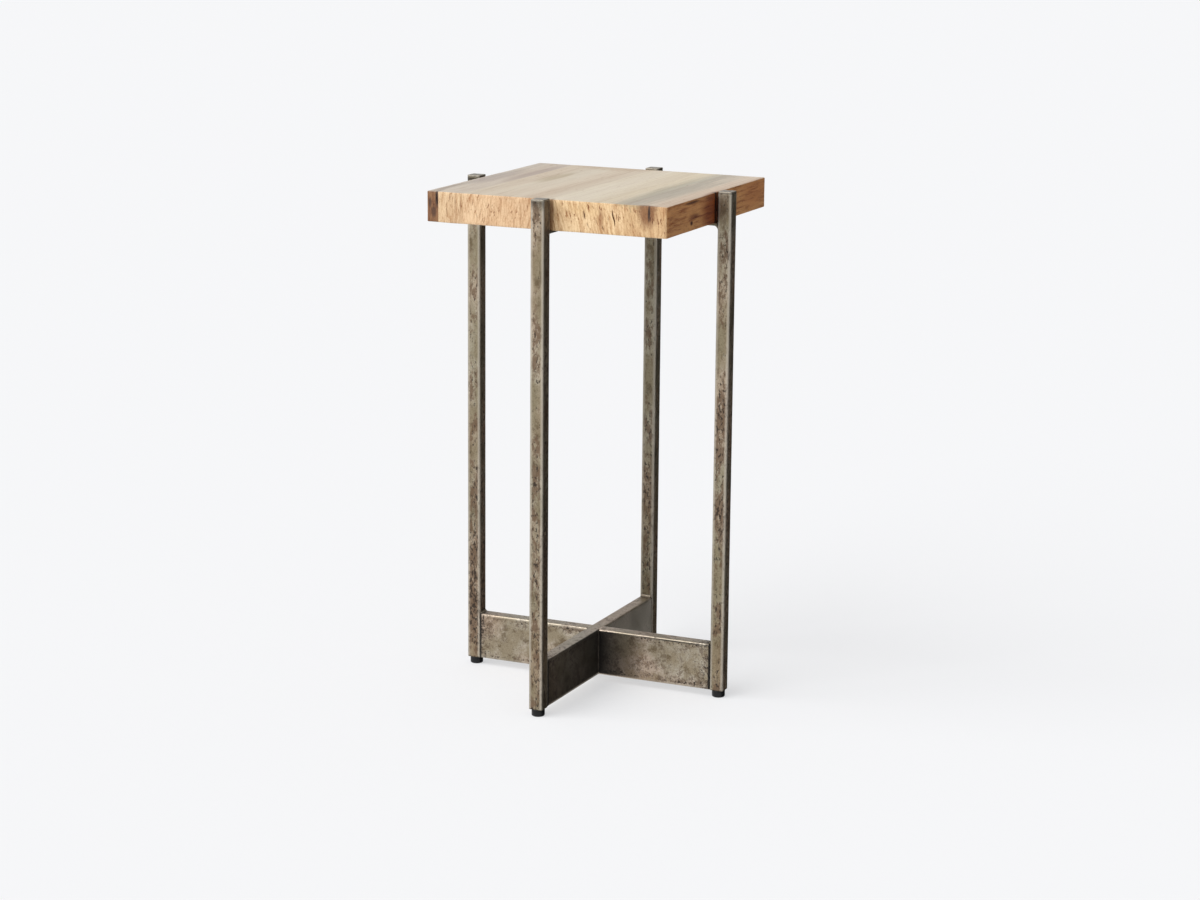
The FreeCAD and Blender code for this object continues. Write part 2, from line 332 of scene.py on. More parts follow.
def open_check(bm, start, end, gap, depth):
    """Opens a drying check in the front end grain: a lens-shaped slot that narrows inwards. X and Z in mm."""
    bm.normal_update()
    front = min(vert.co.y for vert in bm.verts)
    start = Vector((start[0] * mm, front, start[1] * mm))
    run = Vector((end[0] * mm, front, end[1] * mm)) - start
    along = run.normalized()
    across = along.cross(Vector((0, 1, 0)))
    half = gap * mm / 2

    def nearby():
        low = [min(start[axis], (start + run)[axis]) - check_margin for axis in (0, 2)]
        high = [max(start[axis], (start + run)[axis]) + check_margin for axis in (0, 2)]
        found = []
        for face in bm.faces:
            if face.normal.y < -0.99 and abs(face.calc_center_median().y - front) < touching:
                spans = [[vert.co[axis] for vert in face.verts] for axis in (0, 2)]
                if all(max(span) > a and min(span) < b for span, a, b in zip(spans, low, high)):
                    found.append(face)
        return found

    for share in check_stations:
        cut(bm, nearby(), start + run * share, along)
    cut(bm, nearby(), start + across * half, across)
    cut(bm, nearby(), start - across * half, across)
    inside = []
    for face in nearby():
        offset = face.calc_center_median() - start
        if 0 < offset.dot(along) < run.length and abs(offset.dot(across)) < half:
            inside.append(face)
    around = list(dict.fromkeys(vert for face in inside for vert in face.verts))
    floor = [item for item in pushed_out(bm, inside) if isinstance(item, bmesh.types.BMVert)]
    rim = [vert for vert in around if vert.is_valid]
    for vert in rim + floor:
        offset = vert.co - start
        share = held(offset.dot(along) / run.length)
        lens = math.sin(math.pi * share)
        side = offset.dot(across)
        drift = half * check_wander_share * math.sin(9 * share + start.x * 900) * lens
        narrowing = check_floor_share if vert in floor else 1.0
        vert.co += across * (side * lens * narrowing + drift - side)
        if vert in floor:
            vert.co.y += depth * mm * lens
    # Painted shade: the check's floor darkens with its depth, fully dark past a set depth
    split = bm.verts.layers.float["split"]
    for vert in floor:
        vert[split] = min(1.0, (vert.co.y - front) / check_shade_depth)
    bmesh.ops.remove_doubles(bm, verts=rim + floor, dist=check_merge)


def soft_shares(place):
    """Three soft shares that wander with the place, one for each axis, the same in every run."""
    return Vector([noise.noise(place + Vector((17.3 * axis, 5.1, 9.7))) for axis in range(3)])


def board(node, material, outer_sides=(), checks=()):
    """One board of the top, with eased arrises where it is on the outside."""
    low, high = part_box(node)
    bm = box_block(low, high)
    outer = [low.x if side < 0 else high.x for side in outer_sides]
    glued = [level for level in (low.x, high.x) if level not in outer]
    corners = [edge for edge in bm.edges
               if runs_along(edge, 2) and any(on_level(edge, 0, level) for level in outer)]
    if corners:
        rounded(bm, corners, top_corner_radius, 5)
    rims = [edge for edge in bm.edges
            if (on_level(edge, 2, low.z) or on_level(edge, 2, high.z))
            and not any(on_level(edge, 0, level) for level in glued)]
    rounded(bm, rims, arris_radius, 3)
    cut_across(bm, 0, spaced(low.x, high.x, board_cell))
    cut_across(bm, 1, spaced(low.y, high.y, board_cell))
    cut_across(bm, 2, spaced(low.z, high.z, board_cell / 2))
    bm.verts.layers.float.new("split")
    for check in checks:
        open_check(bm, *check)
    for vert in bm.verts:
        wave = soft_shares(vert.co * 38) * 0.5 + soft_shares(vert.co * 160) * 0.25
        pull = Vector((0, 0, 0))
        for axis in range(3):
            inward = arris_wave * held(0.45 + wave[axis])
            if vert.co[axis] - top_low[axis] < 2 * arris_radius:
                pull[axis] += inward
            if top_high[axis] - vert.co[axis] < 2 * arris_radius:
                pull[axis] -= inward
        on_arris = sum(abs(value) > 0 for value in pull) > 1
        vert.co += pull * (1.0 if on_arris else flat_wave_share)
    finished("hickory_" + node, bm, material, "table", node)


top_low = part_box("board_dark_strip")[0]
top_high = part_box("board_right")[1]

# A stain or a patch of painted shade has its tone, strength, middle, reach and raggedness, and a check
# its two ends, width and depth, with the lengths in millimetres
left_shade = ((222, 218, 222), 0.9, (-150, 0, 679), (22, 110, 9), 14)
grey_streak = ((188, 193, 190), 0.8, (116, -15, 679), (37, 330, 9), 26)
dark_strip_wood = hickory(
    "dark heartwood", [(186, 173, 156), (146, 107, 69), (120, 86, 58)], (230, 218, 212),
    (-440, 0, 650), 2.6, 0.02, 1.3,
    [((92, 70, 56), 0.9, (-153.4, -168, 670), (3.2, 40, 17), 1.5),
     ((120, 92, 72), 0.7, (-158, -168, 652), (5, 30, 10), 3),
     ((120, 96, 80), 0.8, (-163, -168, 664), (3, 30, 9), 3),
     ((176, 158, 144), 0.6, (-160, -120, 678), (5, 70, 4), 3),
     left_shade])
board("board_dark_strip", dark_strip_wood, [-1],
      [((-154.2, 677.0), (-152.2, 661.0), 1.3, 5.0)])

striped_wood = hickory(
    "striped hickory", [(199, 186, 168), (230, 201, 160), (178, 130, 92)], (234, 226, 226),
    (-413, 0, 650), 3.4, -0.04, 0.9,
    [((176, 138, 100), 0.5, (-127, -168, 664), (1.2, 30, 18), 2),
     ((176, 138, 100), 0.5, (-139, -168, 656), (1.0, 30, 14), 2),
     ((186, 152, 116), 0.45, (-119, -168, 664), (1.6, 30, 16), 2),
     left_shade,
     ((216, 206, 206), 0.85, (-122, 60, 679), (15, 130, 9), 12)])
board("board_striped", striped_wood, [],
      [((-127.6, 672.0), (-126.4, 663.0), 0.4, 2.0), ((-139.6, 659.0), (-138.8, 650.5), 0.35, 2.0)])

middle_wood = hickory(
    "middle hickory", [(207, 195, 173), (232, 202, 163), (182, 132, 94)], (248, 236, 226),
    (-355, 0, 640), 3.9, -0.25, 0.85,
    [((208, 196, 162), 0.65, (-80, 32, 679), (15, 78, 9), 14),
     ((228, 214, 198), 0.8, (-50, 168, 679), (75, 46, 9), 20),
     ((190, 156, 118), 0.45, (-62, -168, 664), (2, 30, 20), 4),
     ((190, 156, 118), 0.45, (-34, -168, 656), (2.4, 30, 20), 5)])
board("board_middle", middle_wood, [],
      [((-96.4, 653.5), (-95.4, 647.0), 0.4, 1.5), ((-44.0, 651.0), (-43.2, 645.0), 0.4, 1.5),
       ((-24.6, 669.5), (-24.0, 664.0), 0.4, 1.5)])

pale_wood = hickory(
    "pale hickory", [(215, 203, 180), (238, 208, 163), (184, 136, 96)], (250, 246, 230),
    (-200, 0, 597), 4.2, 0.21, 1.0,
    [grey_streak,
     ((166, 128, 90), 0.55, (78, -168, 658), (5, 20, 16), 5),
     ((150, 112, 78), 0.5, (55, -168, 662), (3, 20, 9), 3),
     # Painted shadow of the front leg: a brown band on the end grain just right of the leg
     ((130, 92, 50), 0.7, (9.5, -168, 662), (4.6, 12, 80), 1)])
board("board_pale", pale_wood, [],
      [((92.7, 672.0), (97.9, 648.4), 2.0, 7.0), ((53.4, 667.5), (56.8, 655.8), 1.2, 3.5),
       ((79.6, 650.6), (82.2, 642.4), 0.9, 3.0), ((58.6, 653.0), (61.4, 644.5), 0.7, 2.5),
       ((75.8, 670.0), (78.2, 661.0), 0.45, 2.5), ((70.3, 660.5), (72.8, 650.0), 0.45, 2.5),
       ((46.4, 674.0), (48.8, 666.5), 0.4, 2.0), ((87.4, 662.6), (88.7, 655.3), 0.4, 2.0)])

right_wood = hickory(
    "right hickory", [(206, 190, 168), (224, 192, 146), (188, 138, 84)], (244, 228, 216),
    (-205, 0, 607), 4.6, 0.14, 0.9,
    [grey_streak,
     ((154, 120, 88), 0.9, (141.5, -168, 674), (18, 9, 34), 9),
     ((70, 62, 64), 0.9, (143.7, -168, 669), (2.3, 6, 15), 1.2),
     ((84, 50, 34), 0.95, (168, -88.6, 648.5), (5, 5.5, 4.0), 2),
     ((150, 100, 70), 0.7, (168, -80, 656), (7, 24, 5), 6),
     ((96, 62, 42), 0.85, (168, -86, 674.5), (5, 34, 2.6), 2.5),
     # Painted shade on the right edge beside the right leg: a broad reddish-brown patch, and a near-black
     # band where the leg stands close to the wood
     ((176, 122, 68), 1.0, (168, -14, 655), (9, 58, 40), 12),
     ((60, 38, 26), 0.95, (168, -9, 660), (9, 4.6, 60), 1.5),
     ((226, 190, 174), 0.4, (168, 128, 662), (9, 60, 30), 12)])
board("board_right", right_wood, [1],
      [((143.2, 673.5), (143.9, 665.0), 0.5, 3.0), ((121.5, 656.0), (123.2, 648.0), 0.4, 2.0)])

# The four legs: cold-formed square steel tube, left raw. Rust has bloomed in long brown patches
# and been rubbed back to bright metal on the rounded corners, and clear lacquer keeps it so.
# A small square cap is welded on each upper end and ground to the tube.
leg_corner_radius = 2.2 * mm
leg_wall = 1.65 * mm
tube_end_radius = 0.35 * mm
cap_rim_radius = 0.7 * mm
dent_depth = 0.1 * mm
dent_step = 14.0 * mm
wear_reach = 4.4 * mm
grime_reach = 12.0 * mm
soot_reach = 3.2 * mm
foot_rust_reach = 480.0 * mm
# Painted shade: the front leg's right face and the rear leg's front face are darkened for the shade they lie
# in, each listed by side as axis, which end of it and how dark
shaded_face_depth = 0.4 * mm
shaded_leg_faces = {"front": (0, 1, 0.5), "rear": (1, -1, 0.34)}
bore_soot = 0.6
tube_end_soot = 0.5
cap_seam_soot = 0.7
cap_wear = 0.6

# Raw steel: cloudy bare metal, rust-brown patches, dark pits, bright rubbed edges and sooty seams. The same
# blackening and wear masks also carry painted shade and painted light on some faces
burnished, given, out = shared_group("burnished steel", [
    ("Place", "Vector", (0, 0, 0)), ("Stretch", "Vector", (1, 1, 1)), ("Seed", "Float", 0.0),
    ("Rust", "Float", 0.5), ("Pitting", "Float", 0.5), ("Wear_And_Light", "Float", 0.0), ("Grime", "Float", 0.0),
    ("Soot_And_Shade", "Float", 0.0), ("Bare", "Color", (1, 1, 1, 1)), ("Brown", "Color", (1, 1, 1, 1)),
], [("Color", "Color"), ("Roughness", "Float"), ("Metallic", "Float"), ("Height", "Float")])
shifted = reckon_vector(burnished, "MULTIPLY", given["Place"], given["Stretch"])
seeded = lay(burnished, "CombineXYZ", {0: given["Seed"], 1: given["Seed"], 2: given["Seed"]}).outputs[0]
shifted = reckon_vector(burnished, "ADD", shifted, seeded)
cloudy = clouds(burnished, shifted, (30, 30, 30), 6.0, 0.62).outputs[0]
rust = clouds(burnished, shifted, (150, 150, 150), 6.0, 0.7).outputs[0]
rust = reckon(burnished, "MULTIPLY_ADD", cloudy, 0.5, reckon(burnished, "MULTIPLY", rust, 0.7))
rust = reckon(burnished, "MULTIPLY_ADD", given["Grime"], 0.08, rust)
rust = reckon(burnished, "MULTIPLY", between(burnished, rust, 0.615, 0.72), given["Rust"])
blotches = clouds(burnished, shifted, (85, 85, 85), 5.0, 0.7).outputs[0]
blotches = reckon(burnished, "MULTIPLY", between(burnished, blotches, 0.49, 0.66), 0.6)
specks = clouds(burnished, shifted, (310, 310, 310), 4.0, 0.66).outputs[0]
specks = reckon(burnished, "MULTIPLY_ADD", cloudy, 0.35, specks)
specks = reckon(burnished, "MULTIPLY_ADD", given["Grime"], 0.09, specks)
pits = reckon(burnished, "MULTIPLY", between(burnished, specks, 0.79, 0.86), given["Pitting"])
fine = clouds(burnished, given["Place"], (900, 900, 900), 3.0, 0.6).outputs[0]
wear_and_light = reckon(burnished, "MULTIPLY", given["Wear_And_Light"], between(burnished, fine, 0.25, 0.6, 0.6, 1.0))
kept = reckon(burnished, "SUBTRACT", 1.0, reckon(burnished, "MULTIPLY", wear_and_light, 0.85))
rust = reckon(burnished, "MULTIPLY", rust, kept)
pits = reckon(burnished, "MULTIPLY", pits, kept)
mottle = between(burnished, cloudy, 0.3, 0.7, -0.5, 0.5)
tint = between(burnished, clouds(burnished, shifted, (15, 15, 15), 3.0).outputs[0], 0.38, 0.62)
tint = mixed(burnished, tint, tone(252, 258, 254), tone(258, 250, 243))
bare = mixed(burnished, 1.0, given["Bare"], tint, "MULTIPLY")
bare = mixed(burnished, between(burnished, cloudy, 0.6, 0.38), bare, tone(214, 206, 192), "MULTIPLY")
bare = mixed(burnished, between(burnished, fine, 0.42, 0.66), bare, tone(222, 218, 210), "MULTIPLY")
bare = mixed(burnished, reckon(burnished, "MULTIPLY", blotches, kept), bare, tone(150, 132, 112), "MULTIPLY")
colour = mixed(burnished, rust, bare, given["Brown"])
# Lightens rubbed metal, and also paints light and a highlight where the wear mask carries painted light
colour = mixed(burnished, reckon(burnished, "MULTIPLY", wear_and_light, 0.7), colour, tone(192, 187, 177))
colour = mixed(burnished, pits, colour, tone(40, 32, 26))
# Blackens sooty seams and welds, and also paints shade where the blackening mask carries painted shade
colour = mixed(burnished, given["Soot_And_Shade"], colour, tone(15, 12, 10))
burnished.links.new(colour, out["Color"])
dulled = reckon(burnished, "MAXIMUM", reckon(burnished, "MAXIMUM", rust, pits), given["Soot_And_Shade"])
roughness = reckon(burnished, "MULTIPLY_ADD", dulled, 0.22, 0.36)
roughness = reckon(burnished, "MULTIPLY_ADD", wear_and_light, 0.28, roughness)
roughness = reckon(burnished, "MULTIPLY_ADD", mottle, 0.08, roughness)
burnished.links.new(roughness, out["Roughness"])
burnished.links.new(reckon(burnished, "MULTIPLY_ADD", dulled, -0.35, 0.94), out["Metallic"])
height = reckon(burnished, "MULTIPLY_ADD", pits, -1.0, reckon(burnished, "MULTIPLY", cloudy, 0.8))
height = reckon(burnished, "MULTIPLY_ADD", rust, -0.25, height)
burnished.links.new(reckon(burnished, "MULTIPLY_ADD", fine, 0.08, height), out["Height"])


def raw_steel(name, seed, rust, pitting, bare, brown, stretch=(1.0, 1.0, 1.0)):
    """Lacquered raw steel for one kind of piece."""
    material, tree, shader = new_material(name)
    inputs = {"Place": lay(tree, "TexCoord").outputs["Object"], "Stretch": stretch, "Seed": seed,
              "Rust": rust, "Pitting": pitting, "Bare": tone(*bare), "Brown": tone(*brown)}
    for label in ("Wear_And_Light", "Grime", "Soot_And_Shade"):
        inputs[label] = lay(tree, "Attribute", attribute_name=label.lower()).outputs["Fac"]
    steel = lay(tree, "Group", inputs, node_tree=burnished).outputs
    fill(tree, shader, {"Base Color": steel["Color"], "Roughness": steel["Roughness"],
                        "Metallic": steel["Metallic"],
                        "Normal": relief(tree, 0.35, 0.5 * mm, steel["Height"])})
    return material


def marks(bm, name):
    """The piece's layer of one kind of marks, made where there is none."""
    layers = bm.verts.layers.float
    return layers[name] if name in layers.keys() else layers.new(name)


def on_outline(co, low, high, others, radius):
    """Whether a point lies on a bar's outside: on a flat or on a rounded corner."""
    inset = [min(co[other] - low[other], high[other] - co[other]) for other in others]
    outside = math.hypot(*(radius - value for value in inset)) > radius * 0.97
    return min(inset) < touching or max(inset) < radius * 1.01 and outside


def long_bar(low, high, axis, radius, ends, wall=None, narrow_grime=0.1, wear=0.4):
    """A bar or tube along one axis, its long edges and some end rims rounded, dented and rubbed at the edges.
    """
    bm = box_block(low, high)
    others = [other for other in range(3) if other != axis]
    rounded(bm, [edge for edge in bm.edges if runs_along(edge, axis)], radius, 4)
    if wall:
        holes = []
        for face in [face for face in bm.faces if abs(face.normal[axis]) > 0.9]:
            bmesh.ops.inset_region(bm, faces=[face], thickness=wall, use_even_offset=True)
            holes.append(face)
        loops = [edge for face in holes for edge in face.edges]
        bmesh.ops.delete(bm, geom=holes, context="FACES_ONLY")
        bmesh.ops.bridge_loops(bm, edges=loops)
    for level, rim_radius in ends:
        rims = [edge for edge in bm.edges
                if on_level(edge, axis, level)
                and all(on_outline(vert.co, low, high, others, radius) for vert in edge.verts)]
        rounded(bm, rims, rim_radius, 3)
    cut_across(bm, axis, spaced(low[axis], high[axis], dent_step))
    for reach in (soot_reach, soot_reach / 2):
        cut_across(bm, axis, [low[axis] + reach, high[axis] - reach])
    wide = [other for other in others if high[other] - low[other] > 3 * grime_reach]
    for other in others:
        cut_across(bm, other, [low[other] + wear_reach, high[other] - wear_reach])
        if other in wide:
            cut_across(bm, other, [low[other] + grime_reach, high[other] - grime_reach])
    wear_and_light, grime, soot_and_shade = (marks(bm, name) for name in ("wear_and_light", "grime", "soot_and_shade"))
    for vert in bm.verts:
        near = sorted((min(vert.co[other] - low[other], high[other] - vert.co[other]), other)
                      for other in others)
        from_edge, across = near[1]
        inside_bore = wall and near[0][0] > wall * 0.6
        vert[wear_and_light] = 0.0 if inside_bore else wear * max(0.0, 1 - from_edge / wear_reach) ** 0.6
        if wear_reach * 0.9 < from_edge < wear_reach * 1.1:
            vert[grime] = 1.0 if across in wide else narrow_grime
        if inside_bore:
            vert[soot_and_shade] = bore_soot
            continue
        for other in others:
            dent = dent_depth * held(0.5 + noise.noise(vert.co * 45 + Vector((other, 3, 7))))
            vert.co[other] += dent if vert.co[other] < (low[other] + high[other]) / 2 else -dent
    return bm


leg_steel = raw_steel("leg steel", 0.0, 0.8, 0.85, (178, 168, 153), (98, 75, 55), (1.0, 1.0, 0.48))
cap_steel = raw_steel("cap steel", 2.2, 0.9, 0.9, (128, 121, 108), (70, 59, 48))
sides = ("front", "right", "rear", "left")
for side in sides:
    low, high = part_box("leg_" + side)
    rims = [(low.z, tube_end_radius), (high.z, tube_end_radius)]
    bm = long_bar(low, high, 2, leg_corner_radius, rims, leg_wall, narrow_grime=0.4, wear=1.0)
    soot_and_shade = marks(bm, "soot_and_shade")
    grime = marks(bm, "grime")
    for vert in bm.verts:
        vert[grime] = min(1.0, vert[grime] + max(0.0, 1 - (vert.co.z - low.z) / foot_rust_reach))
        # painted shade laid on the leg's shaded face
        if side in shaded_leg_faces:
            axis, outward, face_shade = shaded_leg_faces[side]
            if abs(vert.co[axis] - (high if outward > 0 else low)[axis]) < shaded_face_depth:
                vert[soot_and_shade] = max(vert[soot_and_shade], face_shade)
        if high.z - vert.co.z < tube_end_radius or vert.co.z - low.z < tube_end_radius:
            vert[soot_and_shade] = max(vert[soot_and_shade], tube_end_soot)
        elif high.z - vert.co.z < 1.5 * soot_reach:
            vert[soot_and_shade] = max(vert[soot_and_shade], min(0.8, max(0.0, 0.5 + 1.5 * noise.noise(vert.co * 70))))
    finished("leg_tube_" + side, bm, leg_steel, "table", "leg_" + side)

    low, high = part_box("leg_cap_" + side)
    bm = box_block(low, high)
    rounded(bm, [edge for edge in bm.edges if runs_along(edge, 2)], leg_corner_radius, 4)
    rounded(bm, [edge for edge in bm.edges if on_level(edge, 2, high.z)], cap_rim_radius, 3)
    rounded(bm, [edge for edge in bm.edges if on_level(edge, 2, low.z)], tube_end_radius, 2)
    for axis in (0, 1):
        cut_across(bm, axis, [low[axis] + wear_reach, high[axis] - wear_reach])
    wear_and_light = marks(bm, "wear_and_light")
    soot_and_shade = marks(bm, "soot_and_shade")
    for vert in bm.verts:
        near = min(min(vert.co[axis] - low[axis], high[axis] - vert.co[axis]) for axis in (0, 1))
        vert[wear_and_light] = cap_wear * max(0.0, 1 - near / wear_reach)
        vert[soot_and_shade] = cap_seam_soot if vert.co.z - low.z < tube_end_radius / 2 else 0.0
    finished("welded_cap_" + side, bm, cap_steel, "table", "leg_cap_" + side)

# The cross at the floor: rectangular steel tube on edge, one bar right through from front to rear
# and a shorter one butted against each side of it, welded to the legs and lacquered raw.
base_edge_radius = 2.2 * mm
base_end_radius = 0.9 * mm
side_skin = 0.5 * mm
line_width = 0.3 * mm
inner_corner_shade_reach = 66.0 * mm
heat_reach = 24.0 * mm
heat_grime = 1.4
seam_soot_and_shade = 0.95
dulled_top = 0.3
bar_steel = raw_steel("bar steel", 3.7, 0.68, 0.95, (185, 173, 161), (94, 77, 61))


def floor_bar(low, high, axis, ends):
    """A bar of the floor cross: its top dulled by dust, its welded ends sooty and stained by the heat."""
    bm = long_bar(low, high, axis, base_edge_radius, [(level, base_end_radius) for level in ends])
    soot_and_shade = marks(bm, "soot_and_shade")
    grime = marks(bm, "grime")
    for vert in bm.verts:
        gap = min(abs(vert.co[axis] - level) for level in ends)
        vert[grime] = max(vert[grime], heat_grime * max(0.0, 1 - gap / heat_reach))
        if gap < soot_reach * 0.6:
            vert[soot_and_shade] = seam_soot_and_shade
        if vert.co.z > high.z - side_skin:
            vert[soot_and_shade] = max(vert[soot_and_shade], dulled_top)
    return bm


def coated(node, material):
    """Gives a material to a solid that shows as it is."""
    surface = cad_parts[node].data.materials
    surface.clear()
    surface.append(material)


low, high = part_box("base_bar_long")
bm = floor_bar(low, high, 1, [low.y, high.y])
soot_and_shade = marks(bm, "soot_and_shade")
wear_and_light = marks(bm, "wear_and_light")
# Painted shade and painted light on the long bar: the front half of its right side and right top arris is
# blackened as the side in shade, the rear half of that side is lightened with the wear colour, and the lower
# arris and underside all round take a painted highlight, as if they mirrored the bright floor.
highlit_arris_top = low.z + base_edge_radius * 1.1
for vert in bm.verts:
    on_shaded_side = vert.co.x > high.x - side_skin and highlit_arris_top < vert.co.z
    on_arris = vert.co.x > high.x - base_edge_radius * 0.9 and vert.co.z > high.z - base_edge_radius * 0.9
    if (on_shaded_side or on_arris) and vert.co.y < 0:
        vert[soot_and_shade] = max(vert[soot_and_shade], seam_soot_and_shade - 0.25 * vert.co.y / low.y)
        vert[wear_and_light] = 0.0
    elif on_shaded_side and vert.co.z < high.z - base_edge_radius or vert.co.z < highlit_arris_top:
        vert[wear_and_light] = 1.0
finished("floor_bar_long", bm, bar_steel, "table", "base_bar_long")

low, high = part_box("base_bar_right")
bm = floor_bar(low, high, 0, [high.x])
soot_and_shade = marks(bm, "soot_and_shade")
# Dirt and painted shade: the right bar's sides darken towards the inner corner where it butts against the
# long bar
for vert in bm.verts:
    if low.z + base_edge_radius * 0.9 < vert.co.z < high.z - base_edge_radius:
        vert[soot_and_shade] = max(vert[soot_and_shade], max(0.0, 1 - (vert.co.x - low.x) / inner_corner_shade_reach) ** 0.5)
    if abs(vert.co.z - high.z + base_edge_radius) < line_width:
        vert[soot_and_shade] = max(vert[soot_and_shade], 0.9 + 0.6 * noise.noise(vert.co * 60))
finished("floor_bar_right", bm, bar_steel, "table", "base_bar_right")

low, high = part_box("base_bar_left")
bm = floor_bar(low, high, 0, [low.x])
finished("floor_bar_left", bm, bar_steel, "table", "base_bar_left")

coated("cross_welds", bar_steel)

# The cross under the top: hot-rolled flat bar, darker than the tube, slotted so that the wood can
# swell and shrink, and welded to the legs. The boards lie on it.
flat_steel = raw_steel("flat bar steel", 8.1, 0.8, 0.8, (128, 121, 108), (92, 76, 62))
for node in ("support_bar_long", "support_bar_right", "support_bar_left"):
    coated(node, flat_steel)

# The weld beads: hollow-faced fillet welds, laid in short overlapping ripples in the corner between
# a bar and a leg, blued by the heat and only brushed clean.
bead_width = 14.65 * mm
bead_hollow = 0.22
bead_curve = (0.0, 0.25, 0.5, 0.75, 1.0)
ripples = 13
ripple_swell = 0.88
weld_steel = raw_steel("brushed weld", 5.3, 0.9, 0.8, (138, 128, 112), (88, 70, 56))


def weld_bead(bm, corner, into_room, up, leg):
    """One rippled bead in a corner: it spreads a leg's length into the room along the bar and up the wall."""
    along = into_room.cross(up)
    start = corner - along * bead_width / 2
    toe, head = into_room * leg, up * leg
    hollow = (into_room + up) * leg * bead_hollow
    outline = [start]
    for share in bead_curve:
        outline.append(start + toe * (1 - share) ** 2 + hollow * 2 * share * (1 - share) + head * share ** 2)
    face = bm.faces.new([bm.verts.new(point) for point in outline])
    wear_and_light = marks(bm, "wear_and_light")
    soot_and_shade = marks(bm, "soot_and_shade")
    foot, swell = start, 1.0
    for turn in range(2 * ripples):
        face = next(item for item in pushed_out(bm, [face]) if isinstance(item, bmesh.types.BMFace))
        crest = turn % 2
        next_foot = start + along * bead_width * (turn + 1) / (2 * ripples)
        next_swell = 1.0 if crest else ripple_swell
        for vert in face.verts:
            offset = (vert.co - foot) * next_swell / swell
            vert.co = next_foot + offset
            vert[wear_and_light] = 0.5 if crest else 0.1
            vert[soot_and_shade] = 0.95 if min(offset.dot(into_room), offset.dot(up)) < 0.1 * leg else 0.15
        foot, swell = next_foot, next_swell


def welds(name, node, up, leg):
    """The four like beads of one cross, one at each leg."""
    low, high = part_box(node)
    bm = bmesh.new()
    marks(bm, "wear_and_light")
    marks(bm, "soot_and_shade")
    for direction in (Vector((1, 0, 0)), Vector((-1, 0, 0)), Vector((0, 1, 0)), Vector((0, -1, 0))):
        corner = direction * (high.x if direction.x else high.y)
        corner.z = low.z if up.z > 0 else high.z
        weld_bead(bm, corner, -direction, up, leg)
    finished(name, bm, weld_steel, "table", node)


welds("floor_cross_welds", "base_bar_welds", Vector((0, 0, 1)), 3.5 * mm)
welds("top_cross_welds", "support_bar_welds", Vector((0, 0, -1)), 5.5 * mm)

# The screws that hold the top: zinc-plated hexagon washer-head wood screws, driven up through the
# slots of the flat bars, one under each arm.
screw_flange_radius = 6.0 * mm
screw_flange_height = 1.0 * mm
screw_head_height = 3.0 * mm
screw_head_across_flats = 7.9 * mm
screw_head_rim = 0.5 * mm
screw_shank_radius = 2.0 * mm
screw_tip_radius = 0.1 * mm
screw_tip_length = 3.0 * mm

plated, tree, shader = new_material("zinc plate")
place = lay(tree, "TexCoord").outputs["Object"]
bloom = clouds(tree, place, (260, 260, 260), 4.0, 0.6).outputs[0]
zinc = mixed(tree, between(tree, bloom, 0.35, 0.7), tone(176, 174, 168), tone(146, 143, 138))
fill(tree, shader, {"Metallic": 1.0, "Base Color": zinc, "Normal": relief(tree, 0.2, 0.2 * mm, bloom),
                    "Roughness": between(tree, bloom, 0.3, 0.7, 0.26, 0.46)})


def turned(bm, place, bottom, top, radius_low, radius_high, segments):
    """A turned part that stands on a place, between two heights."""
    lift = place + Vector((0, 0, (bottom + top) / 2))
    return bmesh.ops.create_cone(bm, cap_ends=True, segments=segments, radius1=radius_low,
                                 radius2=radius_high, depth=top - bottom,
                                 matrix=Matrix.Translation(lift))["verts"]


def hexagon_head(bm, place, bottom, top, across_flats, level, rim_radius):
    """A six-sided head, with its rim at one level rounded, or both its rims."""
    reach = across_flats / 2 / math.cos(math.pi / 6)
    head = turned(bm, place, bottom, top, reach, reach, 6)
    rims = dict.fromkeys(edge for vert in head for edge in vert.link_edges if not runs_along(edge, 2))
    rounded(bm, [edge for edge in rims if level is None or on_level(edge, 2, level)], rim_radius, 2)


low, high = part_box("top_screws")
bar_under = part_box("support_bar_long")[0].z
screw_reach = high.x - screw_flange_radius
screw_length = high.z - bar_under
tip_start = screw_length - screw_tip_length
bm = bmesh.new()
for x, y in ((1, 0), (-1, 0), (0, 1), (0, -1)):
    at = Vector((x * screw_reach, y * screw_reach, bar_under))
    head_top = -screw_flange_height
    hexagon_head(bm, at, head_top - screw_head_height, head_top, screw_head_across_flats, low.z,
                 screw_head_rim)
    turned(bm, at, head_top, 0.0, screw_flange_radius * 0.93, screw_flange_radius, 40)
    turned(bm, at, 0.0, tip_start, screw_shank_radius, screw_shank_radius, 20)
    turned(bm, at, tip_start, screw_length, screw_shank_radius, screw_tip_radius, 20)
finished("washer_head_screws", bm, plated, "table", "top_screws")

# The threaded plugs: square steel plugs welded into the legs' feet, with a tapped hole for the stud.
# Only their under faces show.
plug_steel = raw_steel("plug steel", 11.9, 0.5, 0.5, (120, 115, 106), (86, 72, 60))
for side in sides:
    coated("leg_plug_" + side, plug_steel)

